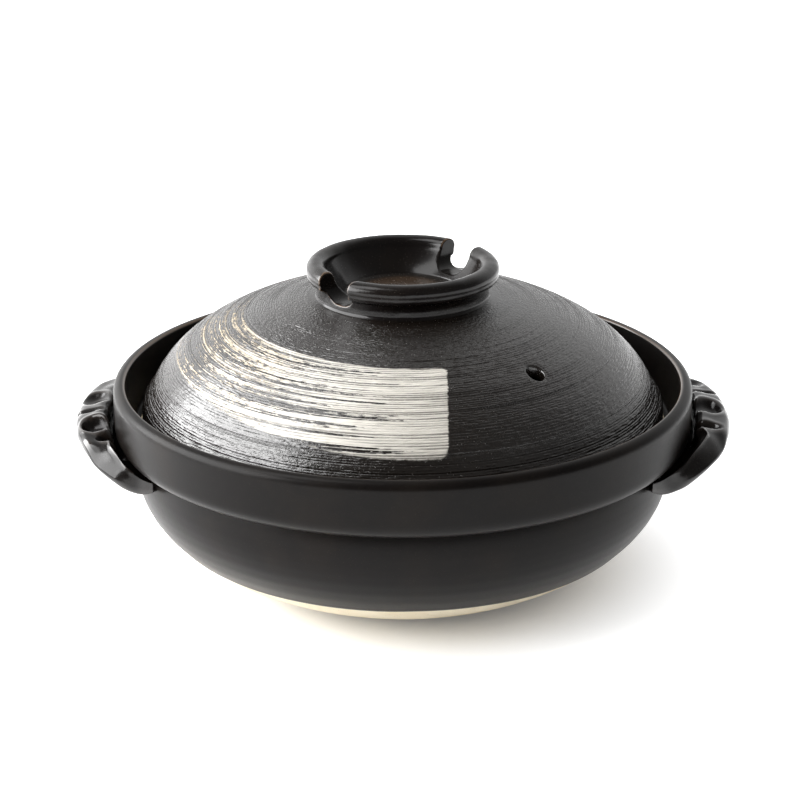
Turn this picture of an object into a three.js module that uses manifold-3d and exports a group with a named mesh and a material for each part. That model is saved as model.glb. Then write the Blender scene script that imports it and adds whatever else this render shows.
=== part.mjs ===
// Clay casserole for the stove: a thrown bowl with two pressed ear handles, and a domed lid with a ring knob.
// Millimetres, +Z up. The origin is the middle of the foot, on the table, and the ears lie along X.
import * as THREE from 'three';
import { mergeVertices } from 'three/addons/utils/BufferGeometryUtils.js';
import Module from 'manifold-3d';

// Bowl
const rimRadius = 141; // outside of the collar
const lipThickness = 6; // collar wall at the rim, half round on top
const potHeight = 97; // table to the top of the rim
const collarHeight = 20; // upright face of the collar, with its lip
const shoulderHeight = 9; // rounded shoulder under the collar, down to the crease
const collarOverhang = 11.6; // how far the collar stands out past the crease
const footRadius = 74; // outside of the flat foot
const footWidth = 12; // flat ring that the pot stands on
const footRecess = 1.5; // hollow inside that ring
const footSlope = 21.5; // degrees, wall where it leaves the foot
const footSweep = 33.7; // length of the wall's curve drawn from the foot
const bellySlope = 17.2; // degrees, lean of the wall in towards the crease
const bellySweep = 35.8; // length of the wall's curve drawn from the crease
const bowlWall = 6;
const floorThickness = 7.5;

// Ledge inside the collar, and the lid that sits on it
const ledgeDepth = 22; // rim top down to the ledge
const ledgeWidth = 6.6;
const ledgeRounding = 1.2; // edge of the ledge above the bowl
const galleryFillet = 8; // curve from the collar's inside to the ledge
const lidPlay = 2.6; // between the lid's skirt and the ledge's outer end
const lidWall = 5.5;
const skirtHeight = 7.7; // seat up to the skirt's widest line
const seatRounding = 1.6; // lower edge of the skirt
const domeShoulder = 5; // how far the dome's foot lies inside the skirt
const domeFoot = 17.9; // seat up to the dome's foot
const domeHeight = 65.3; // seat up to the crown
const crownSweep = 54.2; // length of the dome's curve drawn from the crown
const domeSlope = 62.7; // degrees, wall at the dome's foot
const domeSweep = 37.7; // length of the dome's curve drawn from its foot
const steamHoleDiameter = 8.2;
const steamHoleRadius = 92; // from the axis
const steamHoleAzimuth = 41; // degrees from the front, towards +X

// Ring knob on the crown
const knobRadius = 46.6; // outside of the rolled lip
const knobHeight = 14.4; // crown up to the top of the lip
const knobLipWidth = 9.6;
const knobLipHeight = 8.6;
const knobWaist = 43.4; // outside, under the lip
const knobFoot = 42.4; // outside, where it meets the dome
const knobWell = 27.6; // inside, where it meets the dome
const notchWidth = 19;
const notchCorner = 7.5; // rounding at the bottom of a notch
const notchDepth = 14; // from the top of the lip
const notchAzimuth = -46; // degrees from the front; the other notch is opposite

// Ear handles, pressed from a thick strap of clay
const earReach = 19; // past the collar, in the middle
const earTipReach = 0.5; // past the collar, at the tips
const earLength = 134; // between the tips
const earRidge = 15; // rim top down to the ridge beside the collar
const earRidgeInset = 5.5; // ridge past the collar
const earRidgeDroop = 10.6; // how much lower the ridge lies at the tips
const earRidgeRounding = 2.6;
const earEdge = 21.5; // rim top down to the outer edge
const earEdgeDroop = 12.5; // how much lower the edge lies at the tips
const earEdgeThickness = 9.5;
const earUnderside = 45; // rim top down to the root below
const earTipLift = 6; // how much higher that root lies at the tips
const earGutterWidth = 2.4; // between the ridge's inner face and the collar
const earGutterDepth = 12;
const earTipGutterDepth = 7.2;
const earTipRounding = 9.4; // length over which a tip rounds off
const earTipStand = 2.4; // how far the blunt end of a tip stands off the bowl
const earRootSink = 3; // root past the bowl's face, before it is trimmed to it

// Finger prints on the ears: angle in degrees from an ear's middle towards the front, the rest in millimetres,
// with past the distance from the collar.
const leftPrints = [
  { angle: 7, past: 9.5, length: 15, width: 13, depth: 6 }, // thumb
  { angle: 12.8, past: 4, length: 6, width: 10, depth: 7 }, // notch beside it
  { angle: 0.8, past: 13, length: 5, width: 13, depth: 2 }, // fold
  { angle: -6.5, past: 11.5, length: 17, width: 12, depth: 3.4 }, // far finger
];
const rightPrints = [
  { angle: -2, past: 9.5, length: 17, width: 12, depth: 5 }, // thumb
  { angle: 8.5, past: 8, length: 5, width: 11, depth: 5 }, // notch beside it
  { angle: -8.8, past: 11, length: 5, width: 15, depth: 2 }, // fold
  { angle: 16, past: 4.5, length: 15, width: 8, depth: 3 }, // near finger
];

const seatGap = 0.3; // between the lid and its ledge
const luteGap = 0.3; // between pieces that are stuck together with slip

const turns = 56; // facets round the pot's axis
const knobTurns = 40;
const earSteps = 46; // sections along an ear
const earSpans = [1, 2, 3, 4, 4, 3, 2, 1, 1, 1]; // steps between the points that a section is drawn through

const wasm = await Module();
wasm.setup();

const ledgeHeight = potHeight - ledgeDepth;
const creaseHeight = potHeight - collarHeight - shoulderHeight;
const creaseRadius = rimRadius - collarOverhang;
const ledgeOuter = creaseRadius - bowlWall + ledgeWidth;
const seatHeight = ledgeHeight + seatGap;
const skirtRadius = ledgeOuter - lidPlay;
const crownHeight = seatHeight + domeHeight;
const knobTop = crownHeight + knobHeight;

const point = (r, z) => new THREE.Vector2(r, z);
const { degToRad: radians, lerp } = THREE.MathUtils;

function curve(start, startPull, endPull, end, steps) {
  return new THREE.CubicBezierCurve(start, startPull, endPull, end).getPoints(steps);
}

function arc(centre, rx, rz, from, to, steps) {
  const path = new THREE.EllipseCurve(centre.x, centre.y, rx, rz, radians(from), radians(to), to < from);
  return path.getPoints(steps);
}

// A line moved to its left by a distance, point by point.
function offset(line, distance) {
  return line.map((here, i) => {
    const before = line[Math.max(i - 1, 0)];
    const after = line[Math.min(i + 1, line.length - 1)];
    const along = after.clone().sub(before).normalize();
    return point(here.x - along.y * distance, here.y + along.x * distance);
  });
}

// A closed solid from a geometry, with its faces turned outwards.
function solid(geometry) {
  geometry.deleteAttribute('normal');
  geometry.deleteAttribute('uv');
  const merged = mergeVertices(geometry, 1e-4);
  const corners = merged.index.array;
  const triangles = [];
  let volume = 0;
  const [a, b, c] = [new THREE.Vector3(), new THREE.Vector3(), new THREE.Vector3()];
  for (let i = 0; i < corners.length; i += 3) {
    const [p, q, r] = corners.subarray(i, i + 3);
    if (p === q || q === r || r === p) continue;
    triangles.push([p, q, r]);
    [a, b, c].forEach((v, k) => v.fromBufferAttribute(merged.attributes.position, [p, q, r][k]));
    volume += a.dot(b.cross(c));
  }
  if (volume < 0) triangles.forEach((triangle) => triangle.reverse());
  const vertProperties = Float32Array.from(merged.attributes.position.array);
  const triVerts = Uint32Array.from(triangles.flat());
  return new wasm.Manifold(new wasm.Mesh({ numProp: 3, vertProperties, triVerts }));
}

function revolve(outline, facets) {
  return solid(new THREE.LatheGeometry(outline, facets).rotateX(Math.PI / 2));
}

// An outline that closes on itself, turned into a ring.
function ring(outline, facets) {
  return revolve([...outline, outline[0].clone()], facets);
}

function piece(name, body, material) {
  const { vertProperties, triVerts } = body.getMesh();
  const geometry = new THREE.BufferGeometry();
  geometry.setAttribute('position', new THREE.BufferAttribute(vertProperties, 3));
  geometry.setIndex(new THREE.BufferAttribute(triVerts, 1));
  geometry.computeVertexNormals();
  const mesh = new THREE.Mesh(geometry, material);
  mesh.name = name;
  return mesh;
}

// Bowl: outside from the foot to the top of the lip, then inside from the lip to the floor.
function bowlOutside() {
  const foot = point(footRadius, 0);
  const crease = point(creaseRadius, creaseHeight);
  const footPull = point(footSweep, 0).rotateAround(point(0, 0), radians(footSlope)).add(foot);
  const bellyPull = point(0, -bellySweep).rotateAround(point(0, 0), radians(bellySlope)).add(crease);
  const wall = curve(foot, footPull, bellyPull, crease, 9);
  const face = point(rimRadius, creaseHeight + shoulderHeight);
  const shoulder = curve(crease, point(crease.x + collarOverhang / 2, crease.y),
    point(face.x, face.y - shoulderHeight * 0.7), face, 4);
  const half = lipThickness / 2;
  const lip = arc(point(rimRadius - half, potHeight - half), half, half, 0, 180, 6);
  return { wall, rim: [...shoulder.slice(1), ...lip] };
}

function bowl() {
  const { wall, rim } = bowlOutside();
  const lip = rim.at(-1);
  const bend = point(lip.x - lipThickness / 12, lip.y - galleryFillet);
  const gallery = curve(lip, bend, point(ledgeOuter + galleryFillet / 2, ledgeHeight),
    point(ledgeOuter, ledgeHeight), 5);
  const mouth = creaseRadius - bowlWall;
  const edgeCentre = point(mouth + ledgeRounding, ledgeHeight - ledgeRounding);
  const edge = arc(edgeCentre, ledgeRounding, ledgeRounding, 90, 180, 2);
  const inside = offset(wall, bowlWall).reverse().filter((p) => p.y > floorThickness + 2);
  const floorEdge = point(inside.at(-1).x - (inside.at(-2).x - inside.at(-1).x), floorThickness);
  const recess = footRadius - footWidth;
  const outline = [
    point(0, footRecess),
    point(recess - footRecess * 2, footRecess),
    point(recess, 0),
    ...wall,
    ...rim,
    ...gallery.slice(1),
    ...edge,
    ...inside,
    floorEdge,
    point(0, floorThickness),
  ];
  return revolve(outline, turns);
}

// The room that the bowl takes up, with the gap that a luted piece keeps to it.
function bowlRoom() {
  const { wall, rim } = bowlOutside();
  const skin = offset([...wall, ...rim], -luteGap);
  return revolve([point(0, skin[0].y), ...skin, point(0, skin.at(-1).y)], turns);
}

// Lid: the dome's outside from the crown down to the widest line of the skirt.
function lidOutside() {
  const crown = point(0, crownHeight);
  const foot = point(skirtRadius - domeShoulder, seatHeight + domeFoot);
  const footPull = point(-domeSweep, 0).rotateAround(point(0, 0), -radians(domeSlope)).add(foot);
  const dome = curve(crown, point(crownSweep, crownHeight), footPull, foot, 9);
  const widest = point(skirtRadius, seatHeight + skirtHeight);
  const run = foot.y - widest.y;
  const turn = point(run / 2, 0).rotateAround(point(0, 0), -radians(domeSlope)).add(foot);
  const shoulder = curve(foot, turn, point(widest.x, widest.y + run / 2), widest, 3);
  return [...dome, ...shoulder.slice(1)];
}

function lidDome() {
  const outside = lidOutside();
  const inside = offset(outside, -lidWall).reverse();
  inside.at(-1).x = 0;
  const seatCentre = point(skirtRadius - seatRounding, seatHeight + seatRounding);
  const seat = arc(seatCentre, seatRounding, seatRounding, 0, -90, 2);
  const shell = revolve([...outside, ...seat, point(inside[0].x, seatHeight), ...inside], turns);
  const drill = new THREE.CylinderGeometry(steamHoleDiameter / 2, steamHoleDiameter / 2, domeHeight, 24);
  const around = radians(steamHoleAzimuth);
  drill.rotateX(Math.PI / 2);
  drill.translate(steamHoleRadius * Math.sin(around), -steamHoleRadius * Math.cos(around), crownHeight);
  return shell.subtract(solid(drill));
}

function lidRoom() {
  const skin = offset(lidOutside(), luteGap);
  skin[0].x = 0;
  return revolve([...skin, point(0, skin.at(-1).y)], turns);
}

// Knob: a ring with a rolled lip and two finger notches, trimmed to the dome that it stands on.
function notchCutter() {
  const half = notchWidth / 2;
  const profile = new THREE.Shape();
  profile.moveTo(-half, notchDepth + knobHeight);
  profile.lineTo(-half, notchCorner);
  profile.absarc(-half + notchCorner, notchCorner, notchCorner, Math.PI, Math.PI * 1.5);
  profile.absarc(half - notchCorner, notchCorner, notchCorner, Math.PI * 1.5, Math.PI * 2);
  profile.lineTo(half, notchDepth + knobHeight);
  const depth = knobRadius * 2.4;
  const bar = new THREE.ExtrudeGeometry(profile, { depth, bevelEnabled: false, curveSegments: 5 });
  bar.translate(0, 0, -depth / 2);
  bar.rotateX(Math.PI / 2);
  bar.rotateZ(radians(notchAzimuth));
  bar.translate(0, 0, knobTop - notchDepth);
  return solid(bar);
}

function lidKnob() {
  const rollBottom = knobTop - knobLipHeight;
  const roll = arc(point(knobRadius - knobLipWidth / 2, knobTop - knobLipHeight / 2),
    knobLipWidth / 2, knobLipHeight / 2, -60, 180, 8);
  const foot = crownHeight - knobHeight / 2;
  const throat = roll.at(-1);
  const well = curve(throat, point(throat.x - 2, throat.y - 4), point(knobWell + 4, rollBottom - 4),
    point(knobWell, crownHeight - 1), 3);
  const outline = [
    point(knobWell, foot),
    point(knobFoot, foot),
    point(knobFoot, crownHeight - 2),
    point(knobWaist, rollBottom - 2),
    ...roll,
    ...well.slice(1),
  ];
  return ring(outline, knobTurns).subtract(notchCutter()).subtract(lidRoom());
}

// Ear: one section of the strap at an angle along the collar, as a closed line of radius and height.
// The ridge lies close to the collar, and the outer edge droops and draws in towards the tips.
function earSection(angle, prints) {
  const along = Math.abs(angle) / earHalfAngle();
  const soon = along ** 2;
  const late = along ** 3.5;
  const reach = rimRadius + lerp(earReach, earTipReach, late);
  const edge = potHeight - earEdge - earEdgeDroop * late;
  const shelf = edge + earEdgeThickness * 0.4;
  const ridgeRadius = rimRadius + lerp(earRidgeInset, earTipReach, soon);
  const ridge = potHeight - earRidge - earRidgeDroop * soon;
  const gutterRadius = rimRadius + lerp(earGutterWidth / 2, -earGutterWidth, soon);
  const gutter = ridge - lerp(earGutterDepth, earTipGutterDepth, soon);
  const root = creaseRadius - earRootSink;
  const under = potHeight - earUnderside + earTipLift * late;
  const keys = [
    [root, Math.min(gutter, creaseHeight) - earRootSink],
    [gutterRadius, gutter],
    [lerp(gutterRadius, ridgeRadius, 0.4), ridge - earRidgeRounding],
    [ridgeRadius, ridge],
    [lerp(ridgeRadius, reach, 0.45), lerp(ridge, shelf, 0.35)],
    [lerp(ridgeRadius, reach, 0.85), shelf],
    [reach, edge],
    [lerp(creaseRadius, reach, 0.88), shelf - earEdgeThickness],
    [lerp(creaseRadius, reach, 0.5), lerp(under, edge, 0.36)],
    [root, under],
  ];
  const drawn = keys.map(([r, z]) => new THREE.Vector3(r, 0, z));
  const line = new THREE.CatmullRomCurve3(drawn, true, 'centripetal');
  const tipStart = 1 - earTipRounding / (earLength / 2);
  const tip = Math.max(along - tipStart, 0) / (1 - tipStart);
  const draw = lerp(earTipStand / (reach - creaseRadius), 1, Math.sqrt(1 - tip ** 2));
  const middle = (ridge + under) / 2;
  const section = [];
  earSpans.forEach((steps, span) => {
    const upper = span > 0 && span < 6;
    for (let step = 0; step < steps; step += 1) {
      const { x, z } = line.getPoint((span + step / steps) / earSpans.length);
      const r = x > creaseRadius ? lerp(creaseRadius, x, draw) : x;
      const pressed = upper ? z - printDepth(prints, angle, r) : z;
      section.push(point(r, lerp(middle, pressed, (1 + draw) / 2)));
    }
  });
  return section;
}

// How deep the fingers pressed the clay at a place on the ear.
function printDepth(prints, angle, radius) {
  let depth = 0;
  for (const print of prints) {
    const centre = rimRadius + print.past;
    const along = radians(angle - print.angle) * centre / (print.length / 2);
    const across = (radius - centre) / (print.width / 2);
    depth += print.depth * Math.exp(-((along ** 2 + across ** 2) ** 1.5));
  }
  return depth;
}

function earHalfAngle() {
  return THREE.MathUtils.radToDeg(Math.asin(earLength / 2 / rimRadius));
}

function earStrap(side, prints) {
  const halfAngle = earHalfAngle();
  const places = [];
  const faces = [];
  let count = 0;
  for (let step = 0; step <= earSteps; step += 1) {
    const even = lerp(-1, 1, step / earSteps);
    const closer = lerp(even, Math.sin(even * Math.PI / 2), 0.5); // sections lie closer together towards the tips
    const angle = halfAngle * closer;
    const section = earSection(angle, prints);
    count = section.length;
    for (const { x: r, y: z } of section) {
      places.push(side * r * Math.cos(radians(angle)), -r * Math.sin(radians(angle)), z);
    }
    if (step === 0 || step === earSteps) {
      const first = step * count;
      for (const [a, b, c] of THREE.ShapeUtils.triangulateShape(section, [])) {
        faces.push(...(step === 0 ? [first + c, first + b, first + a] : [first + a, first + b, first + c]));
      }
    }
  }
  for (let step = 0; step < earSteps; step += 1) {
    for (let k = 0; k < count; k += 1) {
      const here = step * count + k;
      const beside = step * count + ((k + 1) % count);
      faces.push(here, here + count, beside, beside, here + count, beside + count);
    }
  }
  const strap = new THREE.BufferGeometry();
  strap.setAttribute('position', new THREE.Float32BufferAttribute(places, 3));
  strap.setIndex(faces);
  return solid(strap).subtract(bowlRoom());
}

const glaze = new THREE.MeshStandardMaterial({ color: 0x1c1918, roughness: 0.35, metalness: 0 });

const pot = new THREE.Group();
pot.add(piece('bowl', bowl(), glaze));
pot.add(piece('left_handle', earStrap(-1, leftPrints), glaze));
pot.add(piece('right_handle', earStrap(1, rightPrints), glaze));

const lid = new THREE.Group();
lid.add(piece('lid_dome', lidDome(), glaze));
lid.add(piece('lid_knob', lidKnob(), glaze));

const casserole = new THREE.Group();
casserole.add(pot, lid);

export default casserole;
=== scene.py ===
"""Black-glazed clay casserole in a plain studio: bowl, ear handles, combed lid and ring knob.
The pieces are in metres with +Z up, and the sizes below in millimetres."""
import math

import bmesh
import bpy
import numpy as np
from mathutils import Matrix, Vector, noise
from mathutils.geometry import interpolate_bezier


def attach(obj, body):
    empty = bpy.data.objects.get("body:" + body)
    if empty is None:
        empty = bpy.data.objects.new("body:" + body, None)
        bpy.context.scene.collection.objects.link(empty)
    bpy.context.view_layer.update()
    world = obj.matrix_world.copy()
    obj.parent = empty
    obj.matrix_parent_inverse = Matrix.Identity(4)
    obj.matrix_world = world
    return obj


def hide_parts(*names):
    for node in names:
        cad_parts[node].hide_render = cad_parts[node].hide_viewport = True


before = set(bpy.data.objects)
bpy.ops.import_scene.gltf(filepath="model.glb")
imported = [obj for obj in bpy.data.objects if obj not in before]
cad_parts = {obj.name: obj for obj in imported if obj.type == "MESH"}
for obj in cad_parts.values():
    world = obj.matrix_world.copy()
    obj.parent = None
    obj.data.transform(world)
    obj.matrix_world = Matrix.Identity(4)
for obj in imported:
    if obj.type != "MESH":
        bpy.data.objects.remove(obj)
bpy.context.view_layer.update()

# Sizes of the clay forms, in millimetres, as (radius, height) where they come in pairs.
MM = 0.001
TURNS = 192
FOOT = (74, 0)
FOOT_WIDTH = 12
FOOT_RECESS = 1.5
BELLY_PULLS = ((105.4, 12.35), (140, 33.8))
CREASE = (129.4, 68)
RIM_RADIUS = 141
COLLAR_FACE = 77
SHOULDER_PULLS = ((135.2, 68), (RIM_RADIUS, 70.7))
POT_HEIGHT = 97
LIP = 6
LIP_INNER = 1.7
WALL = 6
FLOOR = 7.5
LEDGE = 75
LEDGE_OUTER = 130
GLAZE_LINE = 23.4
GLAZE_THICKNESS = 0.28
CROWN = 140.6
DOME_PULLS = ((54.2, 140.6), (105.1, 126.7))
DOME_FOOT = (122.4, 93.2)
SKIRT = (127.4, 83)
SEAT = 75.3
LID_WALL = 5.5
COMB_START = 47
COMB_PITCH = 1.3
COMB_DEPTH = 0.2
HOLE_AZIMUTH = 41
HOLE_FROM_AXIS = 92
HOLE_RADIUS = 4.1
HOLE_ROOM = 5.8
HOLE_ROUNDING = ((1.0, 0.03), (0.55, 0.16), (0.22, 0.45), (0.05, 0.85), (0, 1.4))
KNOB_ROLL = (41.8, 150.7)
KNOB_ROLL_HALF = (4.8, 4.3)
KNOB_WELL = ((31.6, 142.4), (27.6, 139.2))
KNOB_UNDERCUT = ((27.6, 134), (42.4, 134), (43.2, 136.6), (42.2, 137.6), (41.6, 138.6), (41.5, 142),
                 (42.3, 144.2), (43.7, 145.6), (45.2, 146.1), (46, 146.6), (46.3, 147.6))
KNOB_GRAIN = 0.48
NOTCH_AZIMUTH = -46
NOTCH_WIDTH = 19
NOTCH_FLOOR = 141
NOTCH_CORNER = 7.5


def sweep(start, pull, push, end, steps):
    """Points of a Bezier curve between two places in the plane of radius and height."""
    corners = [Vector((r, 0, z)) for r, z in (start, pull, push, end)]
    return [(p.x, p.z) for p in interpolate_bezier(*corners, steps + 1)]


def arc(centre, half, first, last, steps):
    """Points of an arc of an ellipse, by angle in degrees."""
    angles = [math.radians(first + (last - first) * i / steps) for i in range(steps + 1)]
    return [(centre[0] + half[0] * math.cos(a), centre[1] + half[1] * math.sin(a)) for a in angles]


def straight(start, end, steps):
    return [(start[0] + (end[0] - start[0]) * i / steps, start[1] + (end[1] - start[1]) * i / steps)
            for i in range(steps + 1)]


def sides(line):
    """The unit direction to the left of a line at each of its points."""
    left = []
    for i in range(len(line)):
        before = line[max(i - 1, 0)]
        after = line[min(i + 1, len(line) - 1)]
        along = Vector((after[0] - before[0], after[1] - before[1])).normalized()
        left.append((-along.y, along.x))
    return left


def shifted(line, distance):
    """A line moved to its left by a distance."""
    return [(r + left[0] * distance, z + left[1] * distance) for (r, z), left in zip(line, sides(line))]


def joined(*lines):
    """Lines put end to end, without the points where one starts on the end of the last."""
    whole = []
    for line in lines:
        for place in line:
            if not whole or math.dist(place, whole[-1]) > 0.01:
                whole.append(place)
    return whole


def bends(outline, clay_on_left, reach=1.3):
    """How sharply the clay turns outwards at each point of an outline: 0 on flats and hollows,
    1 on thin edges."""
    length = np.concatenate([[0], np.cumsum([math.dist(a, b) for a, b in zip(outline, outline[1:])])])
    r, z = np.array(outline).T
    at = lambda s: np.stack([np.interp(s, length, r), np.interp(s, length, z)], 1)
    come = at(length) - at(length - reach)
    leave = at(length + reach) - at(length)
    turn = np.arctan2(come[:, 0] * leave[:, 1] - come[:, 1] * leave[:, 0], (come * leave).sum(1))
    return [ease(0.4, 0.9, value if clay_on_left else -value) for value in turn]


def turned(outline, clay_on_left=True, closed=False):
    """A form turned on the wheel: an outline spun round the pot's axis. Its row layer keeps the
    outline's order, and its thin layer says where glaze runs thin over a bend."""
    bm = bmesh.new()
    row = bm.verts.layers.float.new("row")
    thin = bm.verts.layers.float.new("thin")
    verts = [bm.verts.new((r * MM, 0, z * MM)) for r, z in outline]
    for i, (vert, bend) in enumerate(zip(verts, bends(outline, clay_on_left))):
        vert[row] = i
        vert[thin] = bend
    edges = [bm.edges.new(pair) for pair in zip(verts, verts[1:])]
    if closed:
        edges.append(bm.edges.new((verts[-1], verts[0])))
    bmesh.ops.spin(bm, geom=verts + edges, axis=(0, 0, 1), cent=(0, 0, 0), angle=math.tau, steps=TURNS,
                   use_merge=True)
    bmesh.ops.remove_doubles(bm, verts=bm.verts, dist=1e-7)
    bmesh.ops.recalc_face_normals(bm, faces=bm.faces)
    return bm


def ease(low, high, value):
    t = min(max((value - low) / (high - low), 0), 1)
    return t * t * (3 - 2 * t)


def wander(seed, *place):
    """Smooth chance between -1 and 1, the same on each run."""
    return noise.noise(Vector((*place, seed)[:3]) + Vector((seed * 7.31, seed * 3.17, seed * 5.73)))


def around(vert):
    """Radius in millimetres and the azimuth's direction of a vertex."""
    radius = math.hypot(vert.co.x, vert.co.y)
    return radius / MM, (vert.co.x / radius, vert.co.y / radius) if radius > 1e-9 else (1.0, 0.0)


# Bowl
def bowl_form():
    wall = sweep(FOOT, *BELLY_PULLS, CREASE, 90)
    shoulder = sweep(CREASE, *SHOULDER_PULLS, (RIM_RADIUS, COLLAR_FACE), 16)
    outer = LIP - LIP_INNER
    face = straight((RIM_RADIUS, COLLAR_FACE), (RIM_RADIUS, POT_HEIGHT - outer), 8)
    lip = joined(arc((RIM_RADIUS - outer, POT_HEIGHT - outer), (outer, outer), 0, 90, 14),
                 arc((RIM_RADIUS - outer, POT_HEIGHT - LIP_INNER), (LIP_INNER, LIP_INNER), 90, 180, 10))
    inner_lip = lip[-1]
    gallery = sweep(inner_lip, (inner_lip[0] - 0.5, inner_lip[1] - 8), (LEDGE_OUTER + 4, LEDGE),
                    (LEDGE_OUTER, LEDGE), 16)
    mouth = CREASE[0] - WALL
    ledge = straight((LEDGE_OUTER, LEDGE), (mouth + 1.2, LEDGE), 6)
    edge = arc((mouth + 1.2, LEDGE - 1.2), (1.2, 1.2), 90, 180, 6)
    inside = [p for p in reversed(shifted(wall, WALL)) if p[1] > FLOOR + 3]
    bottom = sweep(inside[-1], (inside[-1][0] - 12, inside[-1][1] - 3), (52, FLOOR), (30, FLOOR), 14)
    ring = FOOT[0] - FOOT_WIDTH
    foot = [(0, FOOT_RECESS), (20, FOOT_RECESS), (40, FOOT_RECESS), (ring - 3, FOOT_RECESS),
            (ring - 1.8, 1.2), (ring - 0.5, 0.3), (ring + 0.6, 0), (ring + 6, 0), (FOOT[0] - 0.9, 0),
            (FOOT[0] - 0.2, 0.12)]
    skin = joined(wall[1:], shoulder, face, lip)
    outline = joined(foot, skin, gallery, ledge, edge, inside, bottom, [(0, FLOOR)])
    bm = turned(outline)
    row = bm.verts.layers.float["row"]
    bare = bm.verts.layers.float.new("bare")
    out = sides(outline)
    first, last = len(foot), len(foot) + len(skin)
    for vert in bm.verts:
        i = round(vert[row])
        radius, (x, y) = around(vert)
        height = vert.co.z / MM
        lift = 0
        if first <= i < last:
            line = GLAZE_LINE + 0.7 * wander(1, x * 1.6, y * 1.6) + 0.35 * wander(2, x * 6, y * 6)
            vert[bare] = 1 - ease(line - 1.5, line + 1.5, height)
            over = ease(line - 0.4, line + 0.5, height)
            bead = math.exp(-((height - line - 1.0) / 0.9) ** 2)
            rings = 0.05 * wander(3, height * 0.33, 0) + 0.05 * wander(4, x * 2, y * 2, height * 0.05)
            lift = over * (GLAZE_THICKNESS + 0.12 * bead) + rings - GLAZE_THICKNESS
        elif i < first:
            vert[bare] = 1
        elif 123.9 < radius < 128.6 and abs(height - LEDGE) < 0.2:
            vert[bare] = 1
        elif height < LEDGE - 3:
            lift = 0.16 * wander(5, height * 0.12 + math.atan2(y, x) * 0.15, radius * 0.1)
        vert.co += Vector((-out[i][0] * x, -out[i][0] * y, -out[i][1])) * lift * MM
    return bm


# Ear handles
EAR_REACH = 19
EAR_TIP_REACH = 0.5
EAR_LENGTH = 134
EAR_RIDGE = 15
EAR_RIDGE_INSET = 5.5
EAR_RIDGE_DROOP = 10.6
EAR_RIDGE_ROUNDING = 2.6
EAR_EDGE = 21.5
EAR_EDGE_DROOP = 12.5
EAR_EDGE_THICKNESS = 9.5
EAR_UNDERSIDE = 45
EAR_TIP_LIFT = 6
EAR_GUTTER_WIDTH = 2.4
EAR_GUTTER_DEPTH = 12
EAR_TIP_GUTTER_DEPTH = 7.2
EAR_TIP_ROUNDING = 9.4
EAR_TIP_STAND = 3.4
EAR_NOSE_FALL = 3.2
EAR_LEAF_GUTTER = 1.6
EAR_NOSE_HEIGHT = 0.4
EAR_NOSE_DROOP = 0.62
EAR_ROOT_SINK = 3
EAR_SECTIONS = 150
EAR_SPANS = (3, 6, 9, 12, 12, 9, 6, 5, 5, 4)
EAR_HALF_ANGLE = math.degrees(math.asin(EAR_LENGTH / 2 / RIM_RADIUS))
EAR_CREST = 1.5
EAR_LEAF_FALL = 4.2
LEFT_LEAF_INSET = 2.2
RIGHT_LEAF_INSET = 5
# Finger prints: degrees from the ear's middle towards the front, distance past the collar, length,
# width, depth, and how high the clay squeezed up round the print. The second print of an ear is the
# notch where its leaf begins.
LEFT_PRINTS = ((10, 9, 14, 12, 5.6, 0.8), (15.6, 3.5, 5, 11, 7, 0), (3.6, 12.5, 3.6, 14, 1.8, 0.4),
               (-3, 11, 15, 12, 3.2, 0.3))
RIGHT_PRINTS = ((1.5, 9, 16, 12, 4.6, 0.6), (10.5, 7.5, 4.5, 13, 5, 0.2), (-6.5, 11, 3.6, 15, 2, 0.4),
                (-13, 9, 12, 10, 2, 0.2))


def mix(a, b, t):
    return a + (b - a) * t


def drawn_through(keys, span, t):
    """A place on the closed smooth line through keys, after one of them, by centripetal spacing."""
    p = [Vector(keys[(span + k) % len(keys)]) for k in (-1, 0, 1, 2)]
    gap = [max((p[k + 1] - p[k]).length ** 0.5, 1e-4) for k in range(3)]
    leave = ((p[1] - p[0]) / gap[0] - (p[2] - p[0]) / (gap[0] + gap[1]) + (p[2] - p[1]) / gap[1]) * gap[1]
    reach = ((p[2] - p[1]) / gap[1] - (p[3] - p[1]) / (gap[1] + gap[2]) + (p[3] - p[2]) / gap[2]) * gap[1]
    bend = 2 * p[1] - 2 * p[2] + leave + reach
    turn = -3 * p[1] + 3 * p[2] - 2 * leave - reach
    return p[1] + (leave + (turn + bend * t) * t) * t


def print_depth(prints, angle, radius):
    """How deep the fingers pressed the clay at a place on an ear."""
    depth = 0
    for at, past, length, width, deep, lip in prints:
        centre = RIM_RADIUS + past
        along = math.radians(angle - at) * centre / (length / 2)
        across = (radius - centre) / (width / 2)
        out = math.hypot(along, across)
        depth += deep * math.exp(-out ** 4) - lip * math.exp(-((out - 1.28) / 0.24) ** 2)
    return depth


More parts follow.
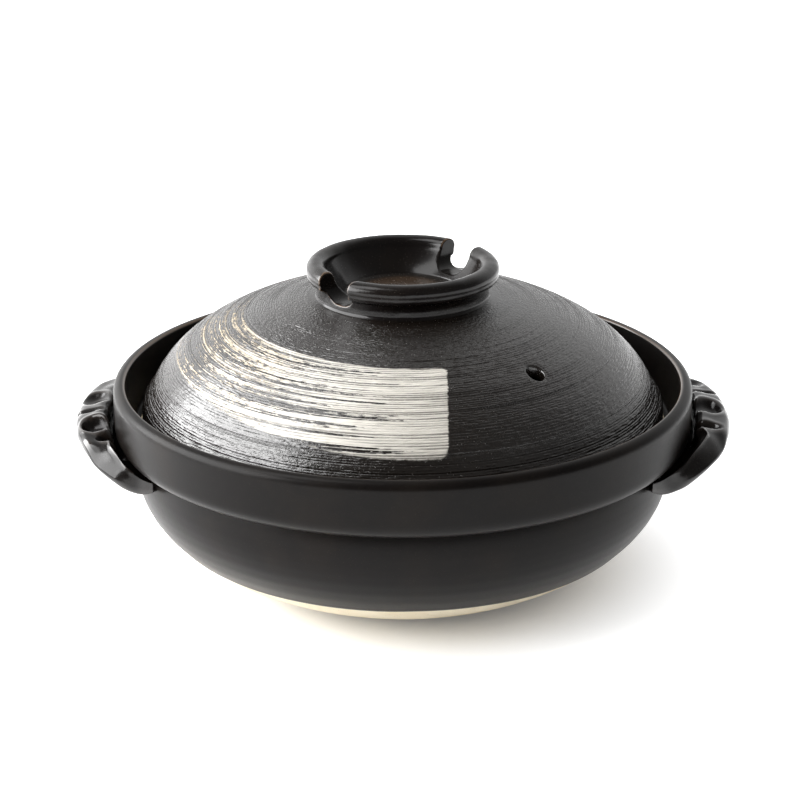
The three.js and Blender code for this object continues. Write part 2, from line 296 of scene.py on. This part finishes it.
def ear_section(angle, prints, leaf_inset):
    """One section of the strap at an angle along the collar, as a closed line of radius and height."""
    along = abs(angle) / EAR_HALF_ANGLE
    soon = along ** 2
    late = along ** 3.5
    reach = RIM_RADIUS + mix(EAR_REACH, EAR_TIP_REACH, late)
    edge = POT_HEIGHT - EAR_EDGE - EAR_EDGE_DROOP * late
    shelf = edge + EAR_EDGE_THICKNESS * 0.4
    leaf = ease(prints[1][0] + 0.5, prints[1][0] + 5, angle)
    ridge_radius = RIM_RADIUS + mix(EAR_RIDGE_INSET + leaf_inset * leaf, EAR_TIP_REACH, late)
    ridge = (POT_HEIGHT - EAR_RIDGE - EAR_RIDGE_DROOP * soon
             - EAR_NOSE_FALL * leaf * ease(0.74, 0.98, along))
    closing = mix(soon, late, leaf)
    gutter_reach = EAR_GUTTER_WIDTH / 2 + EAR_LEAF_GUTTER * leaf
    gutter_radius = RIM_RADIUS + mix(gutter_reach, -EAR_GUTTER_WIDTH, closing)
    gutter = ridge - mix(EAR_GUTTER_DEPTH, EAR_TIP_GUTTER_DEPTH, soon)
    root = CREASE[0] - EAR_ROOT_SINK
    under = POT_HEIGHT - EAR_UNDERSIDE + EAR_TIP_LIFT * late
    keys = [
        (root, min(gutter, CREASE[1]) - EAR_ROOT_SINK),
        (gutter_radius, gutter),
        (mix(gutter_radius, ridge_radius, 0.4), ridge - EAR_RIDGE_ROUNDING),
        (ridge_radius, ridge),
        (mix(ridge_radius, reach, 0.45), mix(ridge, shelf, 0.35) - EAR_LEAF_FALL * 0.3 * leaf),
        (mix(ridge_radius, reach, 0.85), shelf - EAR_LEAF_FALL * 0.9 * leaf),
        (reach, edge - EAR_LEAF_FALL * 0.6 * leaf),
        (mix(CREASE[0], reach, 0.88), shelf - EAR_EDGE_THICKNESS),
        (mix(CREASE[0], reach, 0.5), mix(under, edge, 0.36)),
        (root, under),
    ]
    tip_start = 1 - EAR_TIP_ROUNDING / (EAR_LENGTH / 2)
    tip = max(along - tip_start, 0) / (1 - tip_start)
    rounding = math.sqrt(max(1 - tip ** 2, 0))
    draw = mix(EAR_TIP_STAND / (reach - CREASE[0]), 1, rounding)
    middle = mix(ridge, under, EAR_NOSE_DROOP)
    pinched = EAR_CREST * leaf * (1 - ease(0.93, 1, along))
    section = []
    for span, steps in enumerate(EAR_SPANS):
        for step in range(steps):
            r, z = drawn_through(keys, span, step / steps)
            if r > CREASE[0]:
                r = mix(CREASE[0], r, draw)
            if 0 < span < 6:
                off = r - mix(CREASE[0], ridge_radius, draw)
                z += pinched * math.exp(-(off / 0.7) ** 2)
                z -= print_depth(prints, angle, r)
            section.append((r, mix(middle, z, mix(EAR_NOSE_HEIGHT, 1, rounding))))
    return section


def smooth(bm, passes):
    for _ in range(passes):
        bmesh.ops.smooth_vert(bm, verts=bm.verts, factor=0.5, use_axis_x=True, use_axis_y=True,
                              use_axis_z=True)


def ear_form(side, prints, leaf_inset):
    """A strap of clay pressed along the collar: sections drawn out one from the other."""
    bm = bmesh.new()
    edges = []
    verts = []
    for step in range(EAR_SECTIONS + 1):
        even = mix(-1, 1, step / EAR_SECTIONS)
        angle = EAR_HALF_ANGLE * mix(even, math.sin(even * math.pi / 2), 0.5)
        turn = math.radians(angle)
        places = [Vector((side * r * math.cos(turn), -r * math.sin(turn), z)) * MM
                  for r, z in ear_section(angle, prints, leaf_inset)]
        if step == 0:
            verts = [bm.verts.new(place) for place in places]
            edges = [bm.edges.new((a, b)) for a, b in zip(verts, verts[1:] + verts[:1])]
            continue
        order = {vert.co.to_tuple(9): i for i, vert in enumerate(verts)}
        drawn = bmesh.ops.extrude_edge_only(bm, edges=edges)["geom"]
        verts = sorted((g for g in drawn if isinstance(g, bmesh.types.BMVert)),
                       key=lambda vert: order[vert.co.to_tuple(9)])
        edges = [g for g in drawn if isinstance(g, bmesh.types.BMEdge)]
        for vert, place in zip(verts, places):
            vert.co = place
    bmesh.ops.holes_fill(bm, edges=[e for e in bm.edges if e.is_boundary], sides=0)
    bmesh.ops.triangulate(bm, faces=[f for f in bm.faces if len(f.verts) > 4])
    bmesh.ops.recalc_face_normals(bm, faces=bm.faces)
    for vert in bm.verts:
        vert.co += vert.normal * 0.25 * MM * noise.noise(vert.co * 130 + Vector((side * 9, 0, 0)))
    smooth(bm, 1)
    return bm


# Lid
def dome_line():
    """The lid's outside, from the crown down to the skirt, in fine steps."""
    dome = sweep((0, CROWN), *DOME_PULLS, DOME_FOOT, 500)
    lean = Vector((DOME_FOOT[0] - DOME_PULLS[1][0], DOME_FOOT[1] - DOME_PULLS[1][1])).normalized()
    run = (DOME_FOOT[1] - SKIRT[1]) / 2
    turn = (DOME_FOOT[0] + lean.x * run, DOME_FOOT[1] + lean.y * run)
    return joined(dome, sweep(DOME_FOOT, turn, (SKIRT[0], SKIRT[1] + run), SKIRT, 80))


DOME = dome_line()


def dome_height(radius):
    """Height of the smooth dome at a radius."""
    return float(np.interp(radius, [r for r, _ in DOME], [z for _, z in DOME]))


def lid_form():
    fine = DOME
    length = [0]
    for a, b in zip(fine, fine[1:]):
        length.append(length[-1] + math.dist(a, b))
    radii = [r for r, _ in fine]
    heights = [z for _, z in fine]
    at = lambda s: (float(np.interp(s, length, radii)), float(np.interp(s, length, heights)))
    comb_from = float(np.interp(COMB_START, radii, length))
    crown = [at(comb_from * i / 24) for i in range(24)]
    combed = []
    grooves = []
    s = comb_from
    while s < length[-1] - COMB_PITCH:
        count = len(combed) // 4
        pitch = COMB_PITCH * (1 + 0.5 * wander(11, count * 1.37, 0.5))
        strong = ease(-0.5, 0.5, wander(12, count * 0.83, 0.5))
        deep = COMB_DEPTH * mix(0.6, 1.7, strong ** 2) * mix(0.3, 1, ease(COMB_START, 82, at(s)[0]))
        for share, depth in ((0, 0), (0.3, 0.72), (0.5, 1), (0.72, 0.62)):
            combed.append(at(s + pitch * share))
            grooves.append(deep * depth)
        s += pitch
    low = straight(SKIRT, (SKIRT[0], SEAT + 1.6), 4)
    seat = arc((SKIRT[0] - 1.6, SEAT + 1.6), (1.6, 1.6), 0, -90, 5)
    under = list(reversed(shifted(fine[::14] + [fine[-1]], -LID_WALL)))
    under[-1] = (0, CROWN - LID_WALL)
    rest = straight((SKIRT[0] - 1.6, SEAT), (under[0][0] + 0.8, SEAT), 3)
    inner = [(under[0][0] + 0.2, SEAT + 0.2), (under[0][0], SEAT + 0.8)]
    outline = joined(crown, combed, [SKIRT], low, seat, rest, inner, under)
    depth = dict(zip(range(len(crown), len(crown) + len(combed)), grooves))
    bm = turned(outline, clay_on_left=False)
    row = bm.verts.layers.float["row"]
    thin = bm.verts.layers.float["thin"]
    bare = bm.verts.layers.float.new("bare")
    comb = bm.verts.layers.float.new("comb")
    combed_area = bm.verts.layers.float.new("combed")
    out = sides(outline)
    for vert in bm.verts:
        i = round(vert[row])
        radius, (x, y) = around(vert)
        height = vert.co.z / MM
        groove = depth.get(i, 0)
        vert[combed_area] = 1 if i in depth else 0
        if groove:
            broad = 0.7 * wander(13, x * 2.2, y * 2.2, i * 0.11)
            groove *= 1 + broad + 0.6 * wander(14, x * 11, y * 11, i * 0.3)
            vert[comb] = min(max(groove / COMB_DEPTH, 0), 1)
        elif i in depth:
            vert[thin] = 0.36
        elif i < len(crown):
            vert[thin] = 0.62 * (1 - ease(17, 30, radius))
        swell = 0.12 * wander(15, x * 1.3, y * 1.3, radius * 0.03) if i < len(crown) + len(combed) else 0
        vert.co += Vector((out[i][0] * x, out[i][0] * y, out[i][1])) * (swell - groove) * MM
        if height < SEAT + 0.7:
            vert[bare] = 1
    return bm


def as_piece(name, bm):
    mesh = bpy.data.meshes.new(name)
    bm.to_mesh(mesh)
    bm.free()
    piece = bpy.data.objects.new(name, mesh)
    bpy.context.scene.collection.objects.link(piece)
    return piece


def reworked(piece, *tools):
    """The mesh of a piece as its modifiers leave it. The piece and its cutters go."""
    name = piece.name
    mesh = bpy.data.meshes.new_from_object(piece.evaluated_get(bpy.context.evaluated_depsgraph_get()))
    for used in (piece, *tools):
        old = used.data
        bpy.data.objects.remove(used)
        bpy.data.meshes.remove(old)
    mesh.name = name
    bm = bmesh.new()
    bm.from_mesh(mesh)
    bpy.data.meshes.remove(mesh)
    return bm


def cut(piece, cutter):
    modifier = piece.modifiers.new("cut", "BOOLEAN")
    modifier.operation = "DIFFERENCE"
    modifier.solver = "EXACT"
    modifier.object = cutter
    return reworked(piece, cutter)


def pierced(bm):
    """The lid with its steam hole: a round patch is cut away, and its two rims are drawn in to the
    hole's wall."""
    turn = math.radians(HOLE_AZIMUTH)
    axis = Vector((math.sin(turn), -math.cos(turn))) * HOLE_FROM_AXIS
    drill = bmesh.new()
    bmesh.ops.create_cone(drill, cap_ends=True, segments=64, radius1=HOLE_ROOM * MM,
                          radius2=HOLE_ROOM * MM, depth=0.06)
    bmesh.ops.translate(drill, verts=drill.verts, vec=Vector((axis.x, axis.y, CROWN - 20)) * MM)
    bm = cut(as_piece("lid", bm), as_piece("drill", drill))
    off = lambda vert: math.hypot(vert.co.x / MM - axis.x, vert.co.y / MM - axis.y)
    wall = [f for f in bm.faces if all(abs(off(v) - HOLE_ROOM) < 0.02 for v in f.verts)]
    bmesh.ops.delete(bm, geom=wall, context="FACES")
    rims = [e for e in bm.edges if e.is_boundary]
    upper = [e for e in rims if e.verts[0].co.z / MM > dome_height(around(e.verts[0])[0]) - LID_WALL / 2]
    lower = [e for e in rims if e not in set(upper)]
    ends = []
    for edges, skin, sign in ((upper, 0, 1), (lower, LID_WALL * 1.12, -1)):
        for past, sink in HOLE_ROUNDING:
            drawn = bmesh.ops.extrude_edge_only(bm, edges=edges)["geom"]
            edges = [g for g in drawn if isinstance(g, bmesh.types.BMEdge)]
            for vert in (g for g in drawn if isinstance(g, bmesh.types.BMVert)):
                away = (Vector((vert.co.x, vert.co.y)) / MM - axis).normalized()
                spoke = away * (HOLE_RADIUS + past) + axis
                vert.co = Vector((spoke.x, spoke.y, dome_height(spoke.length) - skin - sign * sink)) * MM
        ends += edges
    bmesh.ops.bridge_loops(bm, edges=ends)
    bmesh.ops.recalc_face_normals(bm, faces=bm.faces)
    return bm


# Knob
def knob_form():
    roll = arc(KNOB_ROLL, KNOB_ROLL_HALF, -20, 180, 26)
    well = sweep(roll[-1], (roll[-1][0] - 2, roll[-1][1] - 4), *KNOB_WELL, 10)
    outline = joined(KNOB_UNDERCUT, roll, well)
    notch = bmesh.new()
    bmesh.ops.create_cube(notch, size=1)
    bmesh.ops.scale(notch, verts=notch.verts, vec=(NOTCH_WIDTH * MM, 0.12, 0.04))
    bmesh.ops.translate(notch, verts=notch.verts, vec=(0, 0, NOTCH_FLOOR * MM + 0.02))
    floor_edges = [e for e in notch.edges if all(v.co.z < NOTCH_FLOOR * MM + 0.001 for v in e.verts)
                   and abs(e.verts[0].co.y - e.verts[1].co.y) > 0.01]
    bmesh.ops.bevel(notch, geom=floor_edges, offset=NOTCH_CORNER * MM, offset_type="OFFSET", segments=8,
                    profile=0.5, affect="EDGES", material=-1)
    turn = Matrix.Rotation(math.radians(NOTCH_AZIMUTH), 3, "Z")
    bmesh.ops.rotate(notch, verts=notch.verts, cent=(0, 0, 0), matrix=turn)
    whole = as_piece("knob", turned(outline, closed=True))
    ring = as_piece("knob", cut(whole, as_piece("notch", notch)))
    ring.data.attributes.remove(ring.data.attributes["thin"])
    clay = ring.modifiers.new("clay", "REMESH")
    clay.mode = "VOXEL"
    clay.voxel_size = KNOB_GRAIN * MM
    bm = reworked(ring)
    smooth(bm, 5)
    for vert in bm.verts:
        vert.co += vert.normal * 0.1 * MM * noise.noise(vert.co * 160)
    return bm


def mark_thin_glaze(mesh, passes, low, high):
    """Where the glaze runs thin: how far each point stands out over the clay round it, as an attribute
    from 0 to 1."""
    count = len(mesh.vertices)
    place = np.empty(count * 3)
    mesh.vertices.foreach_get("co", place)
    place = place.reshape(-1, 3)
    normal = np.empty(count * 3, np.float32)
    mesh.vertex_normals.foreach_get("vector", normal)
    ends = np.empty(len(mesh.edges) * 2, np.int32)
    mesh.edges.foreach_get("vertices", ends)
    a, b = ends.reshape(-1, 2).T
    degree = np.maximum(np.bincount(ends, minlength=count), 1)
    soft = place.copy()
    for _ in range(passes):
        for axis in range(3):
            total = np.bincount(a, soft[b, axis], count) + np.bincount(b, soft[a, axis], count)
            soft[:, axis] = (soft[:, axis] + total / degree) / 2
    proud = ((place - soft) * normal.reshape(-1, 3)).sum(1) / MM
    thin = mesh.attributes.new("thin", "FLOAT", "POINT")
    thin.data.foreach_set("value", np.clip((proud - low) / (high - low), 0, 1).astype(np.float32))


# Finishes
class Field:
    """A value that changes over a surface, held as a socket of a node tree, with the sums made on it."""

    def __init__(self, tree, socket):
        self.tree = tree
        self.socket = socket

    def sum(self, operation, *others):
        node = self.tree.nodes.new("ShaderNodeMath")
        node.operation = operation
        feed(node, {i: value for i, value in enumerate((self, *others))})
        return Field(self.tree, node.outputs[0])

    def __add__(self, other):
        return self.sum("ADD", other)

    def __sub__(self, other):
        return self.sum("SUBTRACT", other)

    def __mul__(self, other):
        return self.sum("MULTIPLY", other)

    def step(self, low, high, start=0.0, end=1.0):
        """Eases from start to end as the value goes from low to high."""
        node = self.tree.nodes.new("ShaderNodeMapRange")
        node.interpolation_type = "SMOOTHSTEP"
        feed(node, {0: self, 1: low, 2: high, 3: start, 4: end})
        return Field(self.tree, node.outputs[0])


def feed(node, values):
    """Sets or links a node's inputs, by name or number."""
    for name, value in values.items():
        if isinstance(value, Field):
            node.id_data.links.new(value.socket, node.inputs[name])
        else:
            node.inputs[name].default_value = value


def place_on(tree):
    node = tree.nodes.new("ShaderNodeTexCoord")
    return Field(tree, node.outputs["Object"])


def attribute(tree, name):
    node = tree.nodes.new("ShaderNodeAttribute")
    node.attribute_name = name
    return Field(tree, node.outputs["Fac"])


def cloud(tree, vector, scale, detail=2.0, roughness=0.5):
    node = tree.nodes.new("ShaderNodeTexNoise")
    feed(node, {"Vector": vector, "Scale": scale, "Detail": detail, "Roughness": roughness})
    return Field(tree, node.outputs[0])


def grains(tree, vector, scale):
    """Distance to the nearest of many scattered grains."""
    node = tree.nodes.new("ShaderNodeTexVoronoi")
    feed(node, {"Vector": vector, "Scale": scale})
    return Field(tree, node.outputs["Distance"])


def tint(tree, share, first, second):
    node = tree.nodes.new("ShaderNodeMix")
    node.data_type = "RGBA"
    feed(node, {0: share, 6: first, 7: second})
    return Field(tree, node.outputs[2])


def triple(tree, x, y, z):
    node = tree.nodes.new("ShaderNodeCombineXYZ")
    feed(node, {0: x, 1: y, 2: z})
    return Field(tree, node.outputs[0])


def parts_of(tree, vector):
    node = tree.nodes.new("ShaderNodeSeparateXYZ")
    feed(node, {0: vector})
    return [Field(tree, socket) for socket in node.outputs]


def new_group(name, inputs, outputs):
    """A shared effect with named inputs and outputs. Gives the group, its inputs as fields and its
    output node."""
    group = bpy.data.node_groups.new(name, "ShaderNodeTree")
    for label, kind, value in inputs:
        socket = group.interface.new_socket(label, in_out="INPUT", socket_type=kind)
        socket.default_value = value
    for label, kind in outputs:
        group.interface.new_socket(label, in_out="OUTPUT", socket_type=kind)
    start = group.nodes.new("NodeGroupInput")
    end = group.nodes.new("NodeGroupOutput")
    return group, [Field(group, socket) for socket in start.outputs[:len(inputs)]], end


def placed(tree, group, values):
    """A shared effect put into a material. Gives its outputs by name."""
    node = tree.nodes.new("ShaderNodeGroup")
    node.node_tree = group
    feed(node, values)
    return {socket.name: Field(tree, socket) for socket in node.outputs}


FLOAT, COLOUR = "NodeSocketFloat", "NodeSocketColor"


def iron_glaze_group():
    """Dark iron glaze: pools black, breaks brown where it runs thin, with fine pits and crystals."""
    group, (thin, glaze, broken, gloss, grit), end = new_group(
        "iron glaze",
        [("Thin", FLOAT, 0.0), ("Glaze", COLOUR, (0.0045, 0.0036, 0.0033, 1)),
         ("Break", COLOUR, (0.07, 0.042, 0.024, 1)), ("Gloss", FLOAT, 0.4), ("Grit", FLOAT, 1.0)],
        [("Color", COLOUR), ("Roughness", FLOAT), ("Height", FLOAT)])
    place = place_on(group)
    drift = cloud(group, place, 38, 3)
    fine = cloud(group, place, 620, 2)
    skin = cloud(group, place, 1500, 1)
    pits = grains(group, place, 700).step(0.16, 0.05)
    breaks = (thin + (drift - 0.5) * thin * 0.4 + (fine - 0.5) * thin * 0.3).step(0.3, 0.95)
    pooled = tint(group, drift.step(0.4, 0.75) * 0.6, glaze, (0.0105, 0.0078, 0.006, 1))
    colour = tint(group, breaks, pooled, broken)
    colour = tint(group, pits * grit * 0.35, colour, (0.09, 0.07, 0.05, 1))
    feed(end, {"Color": colour,
               "Roughness": gloss + (drift - 0.5) * 0.12 + (fine - 0.5) * 0.16 * grit + pits * 0.1,
               "Height": (fine * 0.6 + skin * 0.4) * grit - pits * grit * 0.5})
    return group


def bare_clay_group():
    """Unglazed buff stoneware with sand in it."""
    group, (toast,), end = new_group(
        "bare clay", [("Toast", FLOAT, 0.0)], [("Color", COLOUR), ("Roughness", FLOAT), ("Height", FLOAT)])
    place = place_on(group)
    drift = cloud(group, place, 60, 3)
    sand = cloud(group, place, 1400, 2)
    specks = grains(group, place, 420).step(0.14, 0.06)
    colour = tint(group, drift.step(0.3, 0.75), (0.93, 0.84, 0.66, 1), (0.88, 0.77, 0.57, 1))
    colour = tint(group, toast, colour, (0.42, 0.25, 0.12, 1))
    colour = tint(group, specks * 0.55, colour, (0.3, 0.19, 0.1, 1))
    feed(end, {"Color": colour, "Roughness": sand.step(0.2, 0.8, 0.78, 0.95),
               "Height": sand + specks * 0.4})
    return group


IRON_GLAZE = iron_glaze_group()
BARE_CLAY = bare_clay_group()


def new_finish(name, specular):
    material = bpy.data.materials.new(name)
    material.use_nodes = True
    shader = material.node_tree.nodes["Principled BSDF"]
    shader.inputs["Specular IOR Level"].default_value = specular
    return material, material.node_tree, shader


def dressed(tree, shader, colour, roughness, height, relief):
    bump = tree.nodes.new("ShaderNodeBump")
    bump.inputs["Distance"].default_value = relief * MM
    feed(bump, {"Height": height})
    feed(shader, {"Base Color": colour, "Roughness": roughness, "Normal": Field(tree, bump.outputs[0])})


def between(share, first, second):
    return first + (second - first) * share


def pot_finish():
    """Satin glaze on the bowl, with the foot and the lid's ledge left bare."""
    material, tree, shader = new_finish("pot_glaze", 0.125)
    place = place_on(tree)
    bare = (attribute(tree, "bare") + (cloud(tree, place, 420, 2) - 0.5) * 0.32).step(0.47, 0.53)
    glaze = placed(tree, IRON_GLAZE, {"Thin": attribute(tree, "thin"), "Gloss": 0.34, "Grit": 0.45})
    edge = (attribute(tree, "bare").step(0.2, 0.5) - bare).step(0.0, 1.0)
    clay = placed(tree, BARE_CLAY, {"Toast": attribute(tree, "bare").step(0.85, 0.5) * 0.5})
    colour = tint(tree, bare, tint(tree, edge * 0.6, glaze["Color"], (0.09, 0.045, 0.02, 1)), clay["Color"])
    dressed(tree, shader, colour, between(bare, glaze["Roughness"], clay["Roughness"]),
            between(bare, glaze["Height"], clay["Height"]), 0.05)
    feed(shader, {"Coat Weight": attribute(tree, "thin") - bare})
    shader.inputs["Coat Roughness"].default_value = 0.12
    return material


def ear_finish():
    """Glossier glaze, brightest on the pinched edges."""
    material, tree, shader = new_finish("ear_glaze", 0.32)
    glaze = placed(tree, IRON_GLAZE, {"Thin": attribute(tree, "thin"), "Break": (0.015, 0.0105, 0.008, 1),
                                      "Gloss": 0.2, "Grit": 0.35})
    dressed(tree, shader, glaze["Color"], glaze["Roughness"], glaze["Height"], 0.04)
    feed(shader, {"Coat Weight": attribute(tree, "thin")})
    shader.inputs["Coat Roughness"].default_value = 0.08
    return material


def knob_finish():
    """Glossy glaze that breaks brown on the edges of the roll and of the notches."""
    material, tree, shader = new_finish("knob_glaze", 0.3)
    glaze = placed(tree, IRON_GLAZE, {"Thin": attribute(tree, "thin"), "Break": (0.09, 0.054, 0.03, 1),
                                      "Gloss": 0.2, "Grit": 0.5})
    dressed(tree, shader, glaze["Color"], glaze["Roughness"], glaze["Height"], 0.05)
    feed(shader, {"Coat Weight": attribute(tree, "thin")})
    shader.inputs["Coat Roughness"].default_value = 0.1
    return material


STROKE_INNER = 78.5
STROKE_OUTER = 119.2
STROKE_START = 20.5
STROKE_SWEEP = 120


def slip_stroke(tree, place):
    """One stroke of pale slip brushed round the dome: full at its start in front, drying to bristle
    lines at the left. Gives where it covers the glaze, and how thick it lies."""
    x, y, _ = parts_of(tree, place)
    x, y = x * (1 / MM), y * (1 / MM)
    radius = (x * x + y * y).sum("SQRT")
    angle = x.sum("ARCTAN2", y * -1) * (180 / math.pi)
    swept = (angle * -1 + 10) * (1 / STROKE_SWEEP)
    ragged = cloud(tree, place, 300, 3) - 0.5
    inner = radius - swept.step(0, 0.5, STROKE_INNER + 1.2, STROKE_INNER - 2)
    outer = swept.step(0.05, 0.75, STROKE_OUTER, STROKE_OUTER - 9) - radius
    hairs = cloud(tree, triple(tree, radius * 0.7, angle * 0.012, 3.1), 1, 4, 0.6)
    start = x * -1 + STROKE_START + (hairs - 0.5) * 2.5
    inside = inner.sum("SMOOTH_MIN", outer, 3.0).sum("SMOOTH_MIN", start, 6.0) + ragged * 0.9
    streaks = cloud(tree, triple(tree, radius * 0.5, angle * 0.006, 7.7), 1, 4, 0.7)
    reach = streaks.step(0.37, 0.64, 0.1, 0.88)
    carried = inner.step(3.0, 0.5, 0.0, 0.9)
    bristles = cloud(tree, triple(tree, radius * 2.2, angle * 0.03, 5.2), 1, 4, 0.65) - 0.5
    dashes = cloud(tree, triple(tree, radius * 1.3, angle * 0.42, 1.3), 1, 3, 0.6) - 0.5
    left = (reach + carried - swept
            + bristles * swept.step(0.05, 0.5, 0.2, 2.8)
            + dashes * swept.step(0.05, 0.6, 0.2, 2.2))
    ends = swept.step(-0.4, -0.3) * swept.step(0.86, 1.0, 1.0, 0.0)
    cover = inside.step(0.1, 0.9) * left.step(-0.01, 0.03) * ends
    body = (left.step(0.0, 0.35) * swept.step(0.95, 0.3)).sum("MAXIMUM", swept.step(0.5, 0.3))
    return cover, body


def lid_finish():
    """Combed glaze with one stroke of slip. The seat is left bare."""
    material, tree, shader = new_finish("lid_glaze", 1.0)
    place = place_on(tree)
    comb = attribute(tree, "comb")
    glaze = placed(tree, IRON_GLAZE, {"Thin": attribute(tree, "thin"), "Glaze": (0.0075, 0.0056, 0.0042, 1),
                                      "Gloss": 0.22, "Grit": 0.9})
    cover, body = slip_stroke(tree, place)
    stroke = cover * comb.step(0.25, 0.95, 1.0, 0.36)
    slip = tint(tree, cloud(tree, place, 90, 3), (0.56, 0.53, 0.47, 1), (0.64, 0.61, 0.55, 1))
    slip = tint(tree, body, (0.44, 0.34, 0.2, 1), slip)
    clay = placed(tree, BARE_CLAY, {})
    bare = attribute(tree, "bare").step(0.4, 0.6)
    colour = tint(tree, bare, tint(tree, stroke, glaze["Color"], slip), clay["Color"])
    roughness = between(bare, glaze["Roughness"] + stroke * 0.14, clay["Roughness"])
    x, y, _ = parts_of(tree, place)
    outwards = (x * x + y * y).sum("SQRT") * 1600
    along = x.sum("ARCTAN2", y) * 26
    scratches = cloud(tree, triple(tree, outwards, along, 2.2), 1, 2) * attribute(tree, "combed")
    dressed(tree, shader, colour, roughness, glaze["Height"] + scratches * 2.2 + stroke * 0.35, 0.2)
    return material


def finished(name, bm, material, body, node):
    """A finished piece, on its body, in the place of its plain solid."""
    piece = as_piece(name, bm)
    piece.data.shade_smooth()
    piece.data.materials.append(material)
    if "thin" not in piece.data.attributes:
        mark_thin_glaze(piece.data, 24, 0.12, 0.42)
    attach(piece, body)
    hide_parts(node)
    return piece


EAR_GLAZE = ear_finish()
finished("bowl_body", bowl_form(), pot_finish(), "pot", "bowl")
finished("left_ear", ear_form(-1, LEFT_PRINTS, LEFT_LEAF_INSET), EAR_GLAZE,
         "pot", "left_handle")
finished("right_ear", ear_form(1, RIGHT_PRINTS, RIGHT_LEAF_INSET), EAR_GLAZE,
         "pot", "right_handle")
finished("lid_shell", pierced(lid_form()), lid_finish(), "lid", "lid_dome")
finished("knob_ring", knob_form(), knob_finish(), "lid", "lid_knob")


# Studio
def soft_box(name, place, aim, width, height, power, in_gloss=True):
    lamp = bpy.data.lights.new(name, "AREA")
    lamp.shape = "RECTANGLE"
    lamp.size = width
    lamp.size_y = height
    lamp.energy = power
    box = bpy.data.objects.new(name, lamp)
    box.location = place
    box.rotation_euler = (Vector(aim) - Vector(place)).to_track_quat("-Z", "Y").to_euler()
    box.visible_glossy = in_gloss
    bpy.context.scene.collection.objects.link(box)


def studio_floor():
    """White floor that keeps the pot's shadow. Its glow is weaker near the foot, a painted shade round it,
    and stronger further out, a painted light that washes out the rest of the pot's shadow.
    """
    bm = bmesh.new()
    bmesh.ops.create_circle(bm, cap_ends=True, segments=96, radius=9)
    bmesh.ops.translate(bm, verts=bm.verts, vec=(0, 0, -0.0005))
    floor = as_piece("studio_floor", bm)
    material = bpy.data.materials.new("studio_white")
    material.use_nodes = True
    tree = material.node_tree
    shader = tree.nodes["Principled BSDF"]
    shader.inputs["Base Color"].default_value = (0.8, 0.8, 0.8, 1)
    shader.inputs["Roughness"].default_value = 0.9
    shader.inputs["Specular IOR Level"].default_value = 0.1
    shader.inputs["Emission Color"].default_value = (1, 1, 1, 1)
    path = tree.nodes.new("ShaderNodeLightPath")
    seen = Field(tree, path.outputs["Is Camera Ray"]) + Field(tree, path.outputs["Is Glossy Ray"]) \
        + Field(tree, path.outputs["Is Transmission Ray"])
    x, y, _ = parts_of(tree, place_on(tree))
    away = (x * x + y * y).sum("SQRT")
    # The glow grows with distance from the foot: painted shade close round it, painted light over the pot's
    # shadow further out.
    feed(shader, {"Emission Strength": seen * away.step(0.076, 0.16, 0.12, 0.85)})
    floor.data.materials.append(material)


def studio_camera():
    distance = 1.07
    lift = math.radians(20.565)
    aim = Vector((-0.00132, 0, 0.08264))
    lens = bpy.data.cameras.new("camera")
    lens.sensor_width = 36
    lens.lens = 97.84
    camera = bpy.data.objects.new("camera", lens)
    camera.location = aim + distance * Vector((0, -math.cos(lift), math.sin(lift)))
    camera.rotation_euler = (aim - camera.location).to_track_quat("-Z", "Y").to_euler()
    bpy.context.scene.collection.objects.link(camera)
    bpy.context.scene.camera = camera


def studio_air():
    """Even light from behind, where a white wall would be, and little from the dark side of the camera."""
    world = bpy.data.worlds.new("studio")
    bpy.context.scene.world = world
    world.use_nodes = True
    tree = world.node_tree
    node = tree.nodes.new("ShaderNodeTexCoord")
    right, back, _ = parts_of(tree, Field(tree, node.outputs["Generated"]))
    wall = back.step(-0.1, 0.9, 0.0, 0.8)
    strength = wall + right.step(0.0, 0.8, 0.06, 0.16) + (back - right).step(1.0, 1.4, 0.0, 1.3)
    feed(tree.nodes["Background"], {"Color": (1, 1, 1, 1), "Strength": strength})


studio_floor()
studio_camera()
studio_air()
soft_box("ceiling_box", (0, -0.5, 2.5), (0, -0.1, 0), 6, 6, 56, in_gloss=False)
soft_box("upper_box", (-0.72, -0.1, 1.45), (0, 0, 0.1), 0.66, 0.9, 9)
soft_box("left_box", (-1.2, -0.06, 0.64), (0, 0, 0.08), 1.8, 0.95, 50)
bpy.context.scene.view_settings.view_transform = "Standard"
